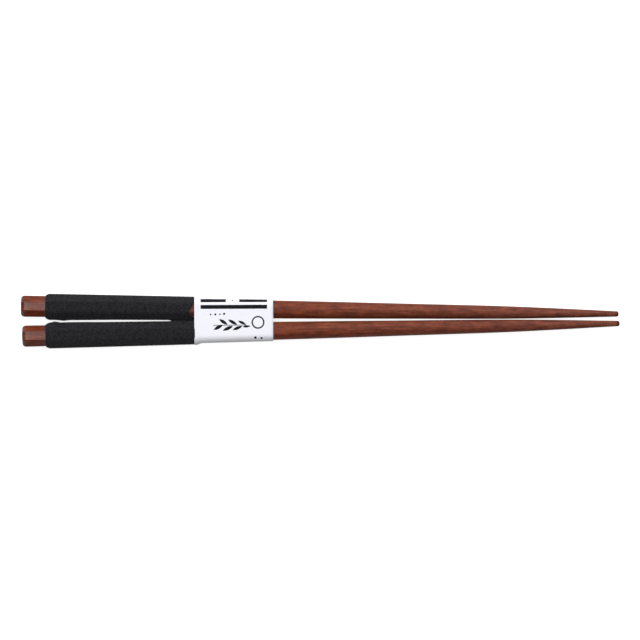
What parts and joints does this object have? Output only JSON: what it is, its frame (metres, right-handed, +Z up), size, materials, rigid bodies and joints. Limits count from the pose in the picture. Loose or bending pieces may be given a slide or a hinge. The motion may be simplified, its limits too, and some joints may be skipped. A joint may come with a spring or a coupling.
{
  "type": "pair of wooden chopsticks",
  "caption": "Reddish hardwood chopsticks with planed handles wound in black cord, tapering to round points, held side by side by a printed paper band.",
  "frame": {"origin": "middle of the bottom of the pair's bounding box, on the table it lies on", "axes": "+X along the pair towards the eating tips, +Y across towards the left stick, +Z up from the table"},
  "size_m": [0.2254, 0.0206, 0.0104],
  "materials": {
    "wood": "satin",
    "cord": "matte",
    "paper": "matte"
  },
  "bodies": {
    "root": {"left_chopstick": "wood", "right_chopstick": "wood", "left_grip_cord": "cord", "right_grip_cord": "cord", "paper_band": "paper"}
  },
  "joints": []
}
